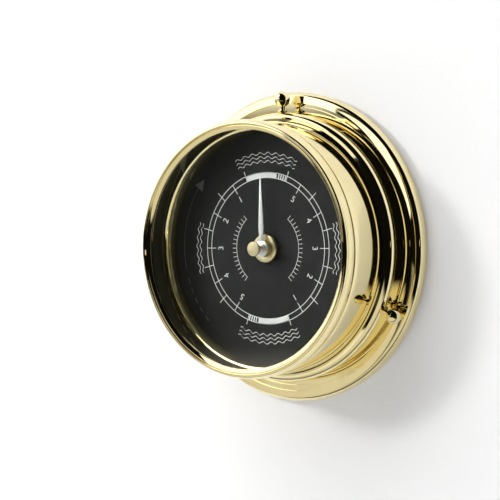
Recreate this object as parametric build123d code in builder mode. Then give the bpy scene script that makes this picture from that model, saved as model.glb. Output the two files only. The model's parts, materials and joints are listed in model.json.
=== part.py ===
"""A wall-mounted brass tide clock, in millimetres.

The wall is the plane y = 0 and the clock faces -Y, with +Z up. The origin is
the centre of the back face. A depth is a distance from the wall to the front.
"""
from build123d import *
import os
from math import cos, radians, sin

# Case drum: a spun brass cup that is open at the back
drum_radius = 63.2
drum_wall = 1.2
drum_length = 39.4
drum_back_width = 13.2
drum_wall_gap = 0.5
drum_edge_round = 0.6
drum_shoulder_length = 4.2
drum_shoulder_drop = 0.9
dial_ledge_width = 3.5
dial_ledge_thickness = 1.2
dial_recess = 14.0

# Wall ring: a turned brass flange with a collar that holds the case
case_fit = 0.25
web_thickness = 2.4
web_width = 19.45
collar_wall = 1.75
collar_neck_height = 3.7
collar_bead_half_width = 3.7
collar_bead_height = 2.2
collar_lip_height = 1.5
collar_lip_wall = 0.9
flange_face_depth = 7.6
flange_face_width = 4.1
flange_bead_width = 1.1
flange_bead_height = 0.9
flange_rim_width = 1.9
flange_roll_foot_height = 1.0
flange_roll_slope_width = 2.1
flange_roll_slope_height = 0.7
flange_roll_width = 3.1
flange_back_inset = 1.3
flange_widest_share = 0.456

# Holes for three wall screws in the web of the wall ring
wall_hole_count = 3
wall_hole_radius = 2.25
wall_hole_head_radius = 3.6
wall_hole_first_angle = 30.0

# Three ball-headed screws that hold the case in the collar, one at the top and
# two lower down, each at the spread angle from the top
screw_spread_angle = 117.0
ball_radius = 3.9
screw_neck_radius = 1.35
screw_neck_length = 1.9
screw_foot_radius = 2.4
screw_foot_height = 0.9
screw_foot_gap = 0.15
screw_shaft_radius = 1.5
screw_fit = 0.05
screw_tip_gap = 0.06

# Bezel: a turned brass ring with a spigot that fits in the drum
bezel_seam = 0.15
bezel_overhang = 0.4
bezel_bulge = 0.7
bezel_side_height = 6.45
bezel_roll_radius = 1.1
bezel_front_width = 0.6
bezel_groove_half_width = 0.35
bezel_groove_drop = 0.9
bezel_lip_top_drop = 0.65
bezel_lip_width = 1.8
bezel_lip_foot_drop = 1.7
bezel_lip_thickness = 0.7
bezel_glass_rest = 1.5
bezel_spigot_fit = 0.1
bezel_spigot_wall = 1.1
bezel_spigot_length = 6.45

# Dial, reflector ring, glass and the sleeve between them
dial_plate_thickness = 1.0
dial_fit = 0.2
reflector_gap = 0.3
reflector_edge_width = 0.7
reflector_edge_height = 0.5
reflector_flare = 1.6
reflector_sag = 0.5
reflector_waist_share = 0.565
glass_thickness = 2.0
glass_fit = 0.2
sleeve_wall = 0.9
sleeve_gap = 0.2

# Centre fittings in front of the dial
bush_radius = 4.0
bush_stand_out = 0.3
bush_flange_radius = 6.0
bush_flange_thickness = 0.8
washer_radius = 6.4
washer_thickness = 0.4
nut_radius = 7.1
nut_thickness = 2.6
nut_edge = 0.5
thread_fit = 0.05

# Tide hand and the cap on its tube
hand_gap = 1.4
hand_thickness = 0.6
hand_eye_radius = 4.1
hand_neck_width = 1.9
hand_widest = 3.1
hand_widest_share = 0.3
hand_tip_width = 0.7
hand_length = 35.0
hand_boss_radius = 2.6
hand_boss_height = 0.9
cap_radius = 3.65
cap_thickness = 1.1
cap_edge_share = 0.33
cap_stem_radius = 1.7
cap_stem_length = 4.7

# Quartz movement: a moulded box behind the dial
movement_width = 56.0
movement_corner = 2.5
movement_wall = 1.2
movement_back_room = 2.0
cover_thickness = 1.2
cover_fit = 0.1
bay_floor = 0.6
battery_fit = 0.2
bay_gap = 2.68
battery_nub_radius = 2.7
battery_nub_length = 1.1
contact_room = 1.25
contact_thickness = 0.35
contact_width = 8.0

# Wheel train: tooth counts, modules and the steps between its layers
units_across = 1120
slow_units = 8
third_units = 7
second_units = 6
fast_units = 5
tide_teeth = 40
motion_pinion_teeth = 12
motion_teeth = 41
cannon_teeth = 11
centre_teeth = 40
train_pinion_teeth = 8
third_teeth = 48
second_teeth = 64
fast_teeth = 60
addendum_share = 0.8
dedendum_share = 1.15
tooth_root_share = 0.29
tooth_tip_share = 0.11
wheel_thickness = 1.1
pinion_overhang = 0.2
tide_wheel_gap = 1.2
motion_wheel_gap = 1.5
layer_gap = 0.8
fast_layer_step = 0.1
motion_angle = 150.0
third_angle = 30.0
second_angle = 60.0
fast_angle = 150.0
rotor_angle = 180.0
pin_radius = 0.4
arbor_radius = 0.75
arbor_recess = 1.6
tide_tube_wall = 1.65
running_fit = 0.05
rotor_magnet_units = 60
rotor_magnet_thickness = 3.0
rotor_magnet_step = 0.1
knob_radius = 6.0
knob_thickness = 2.6
knob_gap = 0.4
knob_flutes = 24
knob_flute_radius = 0.5

# Coil, stator and circuit board
stator_thickness = 1.0
stator_arm_units = 44
stator_pole_units = 192
stator_reach_units = 340
stator_half_height_units = 140
stator_rotor_gap = 0.5
coil_units = 52
coil_core_units = 18
coil_end_gap = 0.3
board_thickness = 1.0
board_gap = 0.7
board_side_gap = 0.8
board_width_units = 456
board_height_units = 360
board_edge_gap = 0.6
boss_units = 24
crystal_radius = 1.0
crystal_length = 6.0
crystal_inset_x = 9.0
crystal_inset_z = 4.4

overrun = 1.0

drum_inner_radius = drum_radius - drum_wall
drum_back_depth = web_thickness + drum_wall_gap
drum_front_depth = drum_back_depth + drum_length
collar_bore_radius = drum_radius + case_fit
collar_neck_radius = collar_bore_radius + collar_wall
collar_bead_radius = collar_neck_radius + collar_bead_height
collar_bead_depth = flange_face_depth + collar_neck_height + collar_bead_half_width

bezel_seat_depth = drum_front_depth + bezel_seam
bezel_spigot_depth = bezel_seat_depth - bezel_spigot_length
bezel_shoulder_depth = bezel_seat_depth + bezel_side_height
bezel_front_depth = bezel_shoulder_depth + bezel_roll_radius
bezel_bore_radius = drum_inner_radius - bezel_spigot_fit - bezel_spigot_wall
bezel_lip_radius = bezel_bore_radius - bezel_glass_rest
glass_front_depth = bezel_front_depth - bezel_lip_foot_drop - bezel_lip_thickness

dial_front_depth = drum_front_depth - dial_recess
dial_back_depth = dial_front_depth - dial_plate_thickness
bush_front_depth = dial_front_depth + washer_thickness + nut_thickness + bush_stand_out
hand_depth = bush_front_depth + hand_gap
arbor_front_depth = bush_front_depth - arbor_recess
tide_tube_bore_radius = arbor_radius + 2 * running_fit
tide_tube_radius = tide_tube_bore_radius + tide_tube_wall
bush_bore_radius = tide_tube_radius + 2 * running_fit

train_unit = movement_width / units_across
slow_module = slow_units * train_unit
third_module = third_units * train_unit
second_module = second_units * train_unit
fast_module = fast_units * train_unit
rotor_magnet_radius = rotor_magnet_units * train_unit
stator_arm_width = stator_arm_units * train_unit
stator_pole_width = stator_pole_units * train_unit
stator_reach = stator_reach_units * train_unit
stator_half_height = stator_half_height_units * train_unit
coil_radius = coil_units * train_unit
coil_core_radius = coil_core_units * train_unit
boss_radius = boss_units * train_unit
shell_inside_depth = dial_back_depth - movement_wall
tide_layer = shell_inside_depth - tide_wheel_gap - wheel_thickness
motion_layer = tide_layer - motion_wheel_gap - wheel_thickness
centre_layer = motion_layer - layer_gap - wheel_thickness
third_layer = centre_layer - layer_gap - wheel_thickness
second_layer = third_layer - layer_gap - wheel_thickness
fast_layer = centre_layer - fast_layer_step
rotor_magnet_layer = second_layer + rotor_magnet_step
stator_layer = rotor_magnet_layer + (rotor_magnet_thickness - stator_thickness) / 2
cover_inside_depth = second_layer - movement_back_room
movement_back_depth = cover_inside_depth - cover_thickness
board_layer = cover_inside_depth + board_gap

battery_radius = (dial_back_depth - movement_back_depth - bay_floor - battery_fit) / 2
battery_length = movement_width - 2 * (movement_wall + contact_room) - battery_nub_length
tide_tip_radius = slow_module * (tide_teeth / 2 + addendum_share)
bay_wall_top = -tide_tip_radius - bay_gap
battery_room_top = bay_wall_top - movement_wall
battery_room_bottom = battery_room_top - 2 * battery_radius - 2 * battery_fit
movement_bottom = battery_room_bottom - movement_wall
movement_top = movement_width / 2
board_left = -movement_width / 2 + movement_wall + board_side_gap
board_right = board_left + board_width_units * train_unit
board_bottom = bay_wall_top + board_edge_gap
board_top = board_bottom + board_height_units * train_unit


def facing(depth, x=0.0, z=0.0):
    """A plane parallel to the wall, seen from the front, at a depth."""
    return Plane(origin=(x, -depth, z), x_dir=(1, 0, 0), z_dir=(0, -1, 0))


def step_from(place, distance, angle):
    """The place at a distance and an angle from another, seen from the front."""
    return (place[0] + distance * cos(radians(angle)),
            place[1] + distance * sin(radians(angle)))


def half_pair(module, teeth, other_teeth):
    """The distance between the centres of two meshing wheels."""
    return module * (teeth + other_teeth) / 2


def tooth_points(module, teeth, first_angle):
    """The outline of a toothed wheel, with a tooth at the first angle."""
    pitch_radius = module * teeth / 2
    root_radius = pitch_radius - dedendum_share * module
    tip_radius = pitch_radius + addendum_share * module
    pitch = 360 / teeth
    corners = [(root_radius, -tooth_root_share), (tip_radius, -tooth_tip_share),
               (tip_radius, tooth_tip_share), (root_radius, tooth_root_share)]
    points = []
    for index in range(teeth):
        for radius, turn_share in corners:
            angle = radians(first_angle + (index + turn_share) * pitch)
            points.append((radius * cos(angle), radius * sin(angle)))
    return points


def save(part, name):
    """Labels a finished piece and writes it under its name."""
    part.label = name
    export_step(part, f"parts/{name}.step")


def make_wall_ring():
    """The flange, its bead, the collar and the web that screws to the wall."""
    web_bore_radius = collar_bore_radius - web_width
    bead_inner_radius = collar_neck_radius + flange_face_width
    bead_outer_radius = bead_inner_radius + flange_bead_width
    bead_top = flange_face_depth + flange_bead_height
    roll_foot_radius = bead_outer_radius + flange_rim_width
    roll_foot_depth = flange_face_depth + flange_roll_foot_height
    roll_radius = roll_foot_radius + flange_roll_slope_width
    roll_depth = roll_foot_depth - flange_roll_slope_height
    flange_radius = roll_radius + flange_roll_width
    flange_back_radius = flange_radius - flange_back_inset
    neck_back = collar_bead_depth - collar_bead_half_width
    neck_front = collar_bead_depth + collar_bead_half_width
    lip_depth = neck_front + collar_lip_height
    lip_radius = collar_bore_radius + collar_lip_wall
    with BuildPart() as wall_ring:
        with BuildSketch(Plane.XY):
            with BuildLine():
                Polyline((collar_bore_radius, -web_thickness),
                         (web_bore_radius, -web_thickness),
                         (web_bore_radius, 0), (flange_back_radius, 0))
                ThreePointArc((flange_back_radius, 0),
                              (flange_radius, -flange_widest_share * roll_depth),
                              (roll_radius, -roll_depth))
                Polyline((roll_radius, -roll_depth),
                         (roll_foot_radius, -roll_foot_depth),
                         (roll_foot_radius, -flange_face_depth),
                         (bead_outer_radius, -flange_face_depth),
                         (bead_outer_radius, -bead_top),
                         (bead_inner_radius, -bead_top),
                         (bead_inner_radius, -flange_face_depth),
                         (collar_neck_radius, -flange_face_depth),
                         (collar_neck_radius, -neck_back))
                ThreePointArc((collar_neck_radius, -neck_back),
                              (collar_bead_radius, -collar_bead_depth),
                              (collar_neck_radius, -neck_front))
                Polyline((collar_neck_radius, -neck_front),
                         (lip_radius, -lip_depth),
                         (collar_bore_radius, -lip_depth),
                         (collar_bore_radius, -web_thickness))
            make_face()
        revolve(axis=Axis.Y)
        hole_circle_radius = collar_bore_radius - web_width / 2
        with Locations(facing(web_thickness)):
            with PolarLocations(hole_circle_radius, wall_hole_count,
                                start_angle=wall_hole_first_angle):
                CounterSinkHole(wall_hole_radius, wall_hole_head_radius)
        for turn in screw_turns.values():
            with BuildSketch(screw_plane(turn, collar_bore_radius - overrun)):
                Circle(screw_shaft_radius + screw_fit)
        extrude(amount=collar_bead_radius - collar_bore_radius + 2 * overrun,
                mode=Mode.SUBTRACT)
    save(wall_ring.part, "wall_ring")


screw_turns = {"top": 0, "right": 1, "left": -1}


def screw_plane(turn, radius):
    """A plane square to a ball screw's axis, at a distance from the centre."""
    angle = radians(turn * screw_spread_angle)
    outward = (sin(angle), 0, cos(angle))
    return Plane(origin=(radius * outward[0], -collar_bead_depth, radius * outward[2]),
                 x_dir=(cos(angle), 0, -sin(angle)), z_dir=outward)


def make_ball_screws():
    """Three screws, each a ball on a waisted neck, that bear on the drum."""
    foot = collar_bead_radius + screw_foot_gap
    foot_top = foot + screw_foot_height
    neck_top = foot_top + screw_neck_length
    ball_centre = neck_top + (ball_radius ** 2 - screw_neck_radius ** 2) ** 0.5
    tip = drum_radius + screw_tip_gap
    ball_top = ball_centre + ball_radius
    for side, turn in screw_turns.items():
        base = screw_plane(turn, 0)
        section = Plane(origin=base.origin, x_dir=base.x_dir,
                        z_dir=base.x_dir.cross(base.z_dir))
        with BuildPart() as ball_screw:
            with BuildSketch(section):
                with BuildLine():
                    Polyline((0, tip), (screw_shaft_radius, tip), (screw_shaft_radius, foot),
                             (screw_foot_radius, foot), (screw_foot_radius, foot_top),
                             (screw_neck_radius, foot_top), (screw_neck_radius, neck_top))
                    ThreePointArc((screw_neck_radius, neck_top),
                                  (ball_radius, ball_centre), (0, ball_top))
                    Line((0, ball_top), (0, tip))
                make_face()
            revolve(axis=Axis(base.origin, base.z_dir))
        save(ball_screw.part, f"ball_screw_{side}")


def make_case_drum():
    """The drum, with a turned-in back edge, a rounded front and a ledge for the dial."""
    ledge_back = dial_back_depth - dial_ledge_thickness
    ledge_radius = drum_inner_radius - dial_ledge_width
    opening_radius = drum_radius - drum_back_width
    shoulder_depth = drum_front_depth - drum_shoulder_length
    front_radius = drum_radius - drum_shoulder_drop
    with BuildPart() as case_drum:
        with BuildSketch(Plane.XY):
            with BuildLine():
                TangentArc((drum_radius, -shoulder_depth),
                           (front_radius, -drum_front_depth), tangent=(0, -1))
                Polyline((front_radius, -drum_front_depth),
                         (drum_inner_radius, -drum_front_depth),
                         (drum_inner_radius, -dial_back_depth),
                         (ledge_radius, -dial_back_depth),
                         (ledge_radius, -ledge_back),
                         (drum_inner_radius, -ledge_back),
                         (drum_inner_radius, -drum_back_depth - drum_wall),
                         (opening_radius, -drum_back_depth - drum_wall),
                         (opening_radius, -drum_back_depth),
                         (drum_radius - drum_edge_round, -drum_back_depth),
                         (drum_radius, -drum_back_depth - drum_edge_round),
                         (drum_radius, -shoulder_depth))
            make_face()
        revolve(axis=Axis.Y)
    save(case_drum.part, "case_drum")


def make_bezel():
    """The rounded bezel, with its grooved front, lip and spigot."""
    side_radius = drum_radius + bezel_overhang
    side_middle = bezel_seat_depth + bezel_side_height / 2
    lip_outer_radius = bezel_lip_radius + bezel_lip_width
    groove_radius = lip_outer_radius + bezel_groove_half_width
    front_inner_radius = groove_radius + bezel_groove_half_width
    front_outer_radius = front_inner_radius + bezel_front_width
    shoulder_radius = front_outer_radius + bezel_roll_radius
    spigot_radius = drum_inner_radius - bezel_spigot_fit
    roll_middle = bezel_roll_radius * cos(radians(45))
    with BuildPart() as bezel:
        with BuildSketch(Plane.XY):
            with BuildLine():
                ThreePointArc((side_radius, -bezel_seat_depth),
                              (side_radius + bezel_bulge, -side_middle),
                              (shoulder_radius, -bezel_shoulder_depth))
                ThreePointArc((shoulder_radius, -bezel_shoulder_depth),
                              (front_outer_radius + roll_middle,
                               -bezel_shoulder_depth - roll_middle),
                              (front_outer_radius, -bezel_front_depth))
                Polyline((front_outer_radius, -bezel_front_depth),
                         (front_inner_radius, -bezel_front_depth),
                         (groove_radius, bezel_groove_drop - bezel_front_depth),
                         (lip_outer_radius, bezel_lip_top_drop - bezel_front_depth),
                         (bezel_lip_radius, bezel_lip_foot_drop - bezel_front_depth),
                         (bezel_lip_radius, -glass_front_depth),
                         (bezel_bore_radius, -glass_front_depth),
                         (bezel_bore_radius, -bezel_spigot_depth),
                         (spigot_radius, -bezel_spigot_depth),
                         (spigot_radius, -bezel_seat_depth),
                         (side_radius, -bezel_seat_depth))
            make_face()
        revolve(axis=Axis.Y)
    save(bezel.part, "bezel")


def make_glass():
    """The flat glass, behind the bezel's lip."""
    with BuildPart() as glass:
        with BuildSketch(facing(glass_front_depth - glass_thickness)):
            Circle(bezel_bore_radius - glass_fit)
        extrude(amount=glass_thickness)
    save(glass.part, "glass")


def make_glass_sleeve():
    """The sleeve that holds the glass against the lip."""
    back = bezel_spigot_depth + sleeve_gap
    outer_radius = bezel_bore_radius - glass_fit
    with BuildPart() as glass_sleeve:
        with BuildSketch(facing(back)):
            Circle(outer_radius)
            Circle(outer_radius - sleeve_wall, mode=Mode.SUBTRACT)
        extrude(amount=glass_front_depth - glass_thickness - back)
    save(glass_sleeve.part, "glass_sleeve")


def make_reflector_ring():
    """The curved ring between the dial and the bezel."""
    outer_radius = drum_inner_radius - dial_fit
    edge_radius = bezel_bore_radius - sleeve_wall
    lip_radius = edge_radius - reflector_edge_width
    inner_radius = lip_radius - reflector_flare
    front_depth = bezel_spigot_depth - reflector_gap
    lip_depth = front_depth - reflector_edge_height
    waist_depth = dial_front_depth + reflector_waist_share * (lip_depth - dial_front_depth)
    with BuildPart() as reflector_ring:
        with BuildSketch(Plane.XY):
            with BuildLine():
                ThreePointArc((inner_radius, -dial_front_depth),
                              (inner_radius + reflector_sag, -waist_depth),
                              (lip_radius, -lip_depth))
                Polyline((lip_radius, -lip_depth), (edge_radius, -front_depth),
                         (outer_radius, -front_depth), (outer_radius, -dial_front_depth),
                         (inner_radius, -dial_front_depth))
            make_face()
        revolve(axis=Axis.Y)
    save(reflector_ring.part, "reflector_ring")


def make_dial_plate():
    """The dial, a disc with a hole for the threaded bush."""
    with BuildPart() as dial_plate:
        with BuildSketch(facing(dial_back_depth)):
            Circle(drum_inner_radius - dial_fit)
            Circle(bush_radius + dial_fit, mode=Mode.SUBTRACT)
        extrude(amount=dial_plate_thickness)
    save(dial_plate.part, "dial_plate")


def make_centre_fittings():
    """The threaded bush of the movement, its washer and its round nut."""
    flange_back = shell_inside_depth - bush_flange_thickness
    washer_front = dial_front_depth + washer_thickness
    with BuildPart() as threaded_bush:
        with BuildSketch(facing(flange_back)):
            Circle(bush_flange_radius)
        extrude(amount=bush_flange_thickness)
        with BuildSketch(facing(flange_back)):
            Circle(bush_radius)
        extrude(amount=bush_front_depth - flange_back)
        with BuildSketch(facing(flange_back)):
            Circle(bush_bore_radius)
        extrude(amount=bush_front_depth - flange_back, mode=Mode.SUBTRACT)
    save(threaded_bush.part, "threaded_bush")
    with BuildPart() as centre_washer:
        with BuildSketch(facing(dial_front_depth)):
            Circle(washer_radius)
            Circle(bush_radius + thread_fit, mode=Mode.SUBTRACT)
        extrude(amount=washer_thickness)
    save(centre_washer.part, "centre_washer")
    with BuildPart() as centre_nut:
        with BuildSketch(facing(washer_front)):
            Circle(nut_radius)
        extrude(amount=nut_thickness)
        front_rim = centre_nut.edges().sort_by(Axis.Y)[0]
        chamfer(front_rim, length=nut_edge)
        with BuildSketch(facing(washer_front)):
            Circle(bush_radius + thread_fit)
        extrude(amount=nut_thickness, mode=Mode.SUBTRACT)
    save(centre_nut.part, "centre_nut")


def make_tide_hand():
    """The lance-shaped hand, with an eye and a boss."""
    tip = hand_length
    widest_height = hand_widest_share * hand_length
    with BuildPart() as tide_hand:
        with BuildSketch(facing(hand_depth)):
            Circle(hand_eye_radius)
            with BuildLine():
                Polyline((-hand_neck_width / 2, 0), (-hand_neck_width / 2, hand_eye_radius),
                         (-hand_widest / 2, widest_height), (-hand_tip_width / 2, tip),
                         (hand_tip_width / 2, tip), (hand_widest / 2, widest_height),
                         (hand_neck_width / 2, hand_eye_radius), (hand_neck_width / 2, 0),
                         close=True)
            make_face()
        extrude(amount=hand_thickness)
        with BuildSketch(facing(hand_depth + hand_thickness)):
            Circle(hand_boss_radius)
        extrude(amount=hand_boss_height)
        with BuildSketch(facing(hand_depth)):
            Circle(tide_tube_radius)
        extrude(amount=hand_thickness, mode=Mode.SUBTRACT)
    save(tide_hand.part, "tide_hand")


def make_hand_cap():
    """The flat button in front of the hand, on a slim stem."""
    stem_back = hand_depth + hand_thickness + hand_boss_height
    cap_back = stem_back + cap_stem_length
    with BuildPart() as hand_cap:
        with BuildSketch(facing(stem_back)):
            Circle(cap_stem_radius)
        extrude(amount=cap_back - stem_back)
        with BuildSketch(facing(cap_back)):
            Circle(cap_radius)
        extrude(amount=cap_thickness)
        front_rim = hand_cap.edges().sort_by(Axis.Y)[0]
        fillet(front_rim, radius=cap_edge_share * cap_thickness)
    save(hand_cap.part, "hand_cap")


centre_place = (0, 0)
motion_place = step_from(centre_place, half_pair(slow_module, motion_teeth, cannon_teeth),
                         motion_angle)
third_place = step_from(centre_place, half_pair(slow_module, centre_teeth, train_pinion_teeth),
                        third_angle)
second_place = step_from(third_place, half_pair(third_module, third_teeth, train_pinion_teeth),
                         second_angle)
fast_place = step_from(second_place, half_pair(second_module, second_teeth, train_pinion_teeth),
                       fast_angle)
rotor_place = step_from(fast_place, half_pair(fast_module, fast_teeth, train_pinion_teeth),
                        rotor_angle)


def gap_towards(teeth, angle):
    """The first tooth's angle that leaves a gap in a direction."""
    return angle + 180 / teeth


def add_wheel(place, layer, thickness, module, teeth, first_angle):
    """Adds a toothed disc to the piece that is being made."""
    with BuildSketch(facing(layer, *place)) as toothed:
        with BuildLine():
            Polyline(*tooth_points(module, teeth, first_angle), close=True)
        make_face()
    extrude(toothed.sketch, amount=thickness)


def add_disc(place, back, front, radius, mode=Mode.ADD):
    """Adds or cuts a round bar between two depths."""
    with BuildSketch(facing(back, *place)) as disc:
        Circle(radius)
    extrude(disc.sketch, amount=front - back, mode=mode)


def make_compound_wheel(name, place, wheel, pinion):
    """A wheel and a pinion on one pipe, which turns on a pin of the shell.

    The wheel and the pinion are each (layer, thickness, module, teeth, first angle).
    """
    starts = (wheel[0], pinion[0])
    ends = (wheel[0] + wheel[1], pinion[0] + pinion[1])
    pipe_radius = pinion[2] * pinion[3] / 2 - dedendum_share * pinion[2]
    with BuildPart() as compound:
        add_wheel(place, *wheel)
        add_wheel(place, *pinion)
        add_disc(place, min(starts), max(ends), pipe_radius)
        add_disc(place, min(starts), max(ends), pin_radius + running_fit, Mode.SUBTRACT)
    save(compound.part, name)


def make_wheels():
    """The wheels from the rotor to the hand, each as its own piece."""
    pinion_thickness = wheel_thickness + 2 * pinion_overhang
    with BuildPart() as tide_wheel:
        add_wheel(centre_place, tide_layer, wheel_thickness, slow_module, tide_teeth,
                  motion_angle)
        add_disc(centre_place, tide_layer, hand_depth + hand_thickness, tide_tube_radius)
        add_disc(centre_place, tide_layer, arbor_front_depth + overrun, tide_tube_bore_radius,
                 Mode.SUBTRACT)
    save(tide_wheel.part, "tide_wheel")
    back_to_centre = motion_angle + 180
    make_compound_wheel(
        "motion_wheel", motion_place,
        (motion_layer, wheel_thickness, slow_module, motion_teeth,
         gap_towards(motion_teeth, back_to_centre)),
        (motion_layer + wheel_thickness, tide_layer - motion_layer, slow_module,
         motion_pinion_teeth,
         gap_towards(motion_pinion_teeth, back_to_centre)))
    with BuildPart() as centre_arbor:
        add_wheel(centre_place, motion_layer - pinion_overhang, pinion_thickness, slow_module,
                  cannon_teeth, motion_angle)
        add_disc(centre_place, movement_back_depth, arbor_front_depth, arbor_radius)
    save(centre_arbor.part, "centre_arbor")
    with BuildPart() as centre_wheel:
        add_wheel(centre_place, centre_layer, wheel_thickness, slow_module, centre_teeth,
                  third_angle)
        add_disc(centre_place, centre_layer, centre_layer + wheel_thickness,
                 arbor_radius + running_fit, Mode.SUBTRACT)
    save(centre_wheel.part, "centre_wheel")
    make_compound_wheel(
        "third_wheel", third_place,
        (third_layer, wheel_thickness, third_module, third_teeth, second_angle),
        (centre_layer - pinion_overhang, pinion_thickness, slow_module, train_pinion_teeth,
         gap_towards(train_pinion_teeth, third_angle + 180)))
    make_compound_wheel(
        "second_wheel", second_place,
        (second_layer, wheel_thickness, second_module, second_teeth, fast_angle),
        (third_layer - pinion_overhang, pinion_thickness, third_module, train_pinion_teeth,
         gap_towards(train_pinion_teeth, second_angle + 180)))
    make_compound_wheel(
        "fast_wheel", fast_place,
        (fast_layer, wheel_thickness, fast_module, fast_teeth, rotor_angle),
        (second_layer - pinion_overhang, pinion_thickness, second_module, train_pinion_teeth,
         gap_towards(train_pinion_teeth, fast_angle + 180)))
    with BuildPart() as rotor:
        add_wheel(rotor_place, fast_layer - pinion_overhang, pinion_thickness, fast_module,
                  train_pinion_teeth, gap_towards(train_pinion_teeth, rotor_angle + 180))
        rotor_pipe_radius = fast_module * (train_pinion_teeth / 2 - dedendum_share)
        add_disc(rotor_place, rotor_magnet_layer, fast_layer + wheel_thickness,
                 rotor_pipe_radius)
        add_disc(rotor_place, rotor_magnet_layer, rotor_magnet_layer + rotor_magnet_thickness,
                 rotor_magnet_radius)
        add_disc(rotor_place, rotor_magnet_layer, fast_layer + pinion_thickness,
                 pin_radius + running_fit, Mode.SUBTRACT)
    save(rotor.part, "rotor")


def make_setting_knob():
    """The fluted knob behind the movement that sets the hand."""
    front = movement_back_depth - knob_gap
    with BuildPart() as setting_knob:
        add_disc(centre_place, front - knob_thickness, front, knob_radius)
        with Locations(facing(front - knob_thickness)):
            with PolarLocations(knob_radius, knob_flutes):
                Hole(knob_flute_radius)
        add_disc(centre_place, front - knob_thickness, movement_back_depth, arbor_radius)
    save(setting_knob.part, "setting_knob")


def make_movement_shell():
    """The open tray of the movement, with pins, bosses and a battery bay."""
    inside = movement_width / 2 - movement_wall
    height = movement_top - movement_bottom
    bay_back = movement_back_depth
    depth = dial_back_depth - bay_back
    board_bosses = [(board_left + 2 * boss_radius, board_bottom + 2 * boss_radius),
                    (board_right - 2 * boss_radius, board_bottom + 2 * boss_radius)]
    arm_z = rotor_place[1] - stator_half_height + stator_arm_width / 2
    stator_left = rotor_place[0] - stator_reach
    stator_bosses = [(stator_left + boss_radius, arm_z),
                     (stator_left + boss_radius,
                      rotor_place[1] + stator_half_height - stator_arm_width / 2)]
    train_pins = [(motion_place, motion_layer), (third_place, third_layer),
                  (second_place, second_layer), (fast_place, second_layer),
                  (rotor_place, rotor_magnet_layer)]
    with BuildPart() as movement_shell:
        with BuildSketch(facing(bay_back, 0, movement_bottom + height / 2)):
            RectangleRounded(movement_width, height, movement_corner)
        extrude(amount=depth)
        upper_height = movement_top - movement_wall - bay_wall_top
        with BuildSketch(facing(bay_back, 0, bay_wall_top + upper_height / 2)):
            Rectangle(2 * inside, upper_height)
        extrude(amount=shell_inside_depth - bay_back, mode=Mode.SUBTRACT)
        bay_height = battery_room_top - battery_room_bottom
        with BuildSketch(facing(bay_back, 0, battery_room_bottom + bay_height / 2)):
            Rectangle(2 * inside, bay_height)
        extrude(amount=2 * battery_radius + battery_fit, mode=Mode.SUBTRACT)
        add_disc(centre_place, shell_inside_depth, dial_back_depth, bush_radius + thread_fit,
                 Mode.SUBTRACT)
        for place in board_bosses:
            add_disc(place, board_layer + board_thickness, shell_inside_depth, boss_radius)
        for place in stator_bosses:
            add_disc(place, stator_layer + stator_thickness, shell_inside_depth, boss_radius)
        for place, layer in train_pins:
            add_disc(place, layer, shell_inside_depth, pin_radius)
    save(movement_shell.part, "movement_shell")


def make_movement_cover():
    """The plate over the wheels, with a hole for the centre arbor."""
    inside = movement_width / 2 - movement_wall - cover_fit
    bottom = bay_wall_top + cover_fit
    height = movement_top - movement_wall - cover_fit - bottom
    with BuildPart() as movement_cover:
        with BuildSketch(facing(movement_back_depth, 0, bottom + height / 2)):
            Rectangle(2 * inside, height)
        extrude(amount=cover_thickness)
        add_disc(centre_place, movement_back_depth, cover_inside_depth,
                 arbor_radius + running_fit, Mode.SUBTRACT)
    save(movement_cover.part, "movement_cover")


def make_battery_parts():
    """The cell in its bay and the two contacts at its ends."""
    cell_z = battery_room_bottom + battery_radius + battery_fit
    cell_depth = movement_back_depth + battery_radius
    cell_start = -(battery_length + battery_nub_length) / 2
    side = Plane(origin=(cell_start, -cell_depth, cell_z), x_dir=(0, 0, 1), z_dir=(1, 0, 0))
    with BuildPart() as battery:
        with BuildSketch(side):
            Circle(battery_radius)
        extrude(amount=battery_length)
        with BuildSketch(side.offset(battery_length)):
            Circle(battery_nub_radius)
        extrude(amount=battery_nub_length)
    save(battery.part, "battery")
    far_end = battery_length + battery_nub_length
    for name, start in (("contact_minus", -contact_room), ("contact_plus", far_end)):
        with BuildPart() as contact:
            with BuildSketch(side.offset(start)):
                Rectangle(contact_width, contact_width)
            extrude(amount=contact_thickness)
            with BuildSketch(side.offset(start)):
                Circle(battery_nub_radius)
            extrude(amount=contact_room)
        save(contact.part, name)


def make_motor():
    """The stator with its coil beside the rotor."""
    left = -stator_reach
    arm_z = stator_half_height - stator_arm_width / 2
    coil_x = left + 2 * boss_radius + coil_core_radius + coil_end_gap
    coil_half = stator_half_height - stator_arm_width - coil_end_gap
    rotor_depth = stator_layer + stator_thickness / 2
    with BuildPart() as stator:
        with BuildSketch(facing(stator_layer, *rotor_place)):
            Rectangle(stator_pole_width, 2 * stator_half_height)
            with Locations((left / 2, arm_z), (left / 2, -arm_z)):
                Rectangle(stator_reach, stator_arm_width)
            Circle(rotor_magnet_radius + stator_rotor_gap, mode=Mode.SUBTRACT)
        extrude(amount=stator_thickness)
        with BuildSketch(Plane(origin=(rotor_place[0] + coil_x, -rotor_depth,
                                       rotor_place[1] - arm_z), z_dir=(0, 0, 1))):
            Circle(coil_core_radius - running_fit)
        extrude(amount=2 * arm_z)
    save(stator.part, "stator")
    with BuildPart() as coil_winding:
        with BuildSketch(Plane(origin=(rotor_place[0] + coil_x, -rotor_depth,
                                       rotor_place[1] - coil_half), z_dir=(0, 0, 1))):
            Circle(coil_radius)
            Circle(coil_core_radius, mode=Mode.SUBTRACT)
        extrude(amount=2 * coil_half)
    save(coil_winding.part, "coil_winding")


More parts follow.
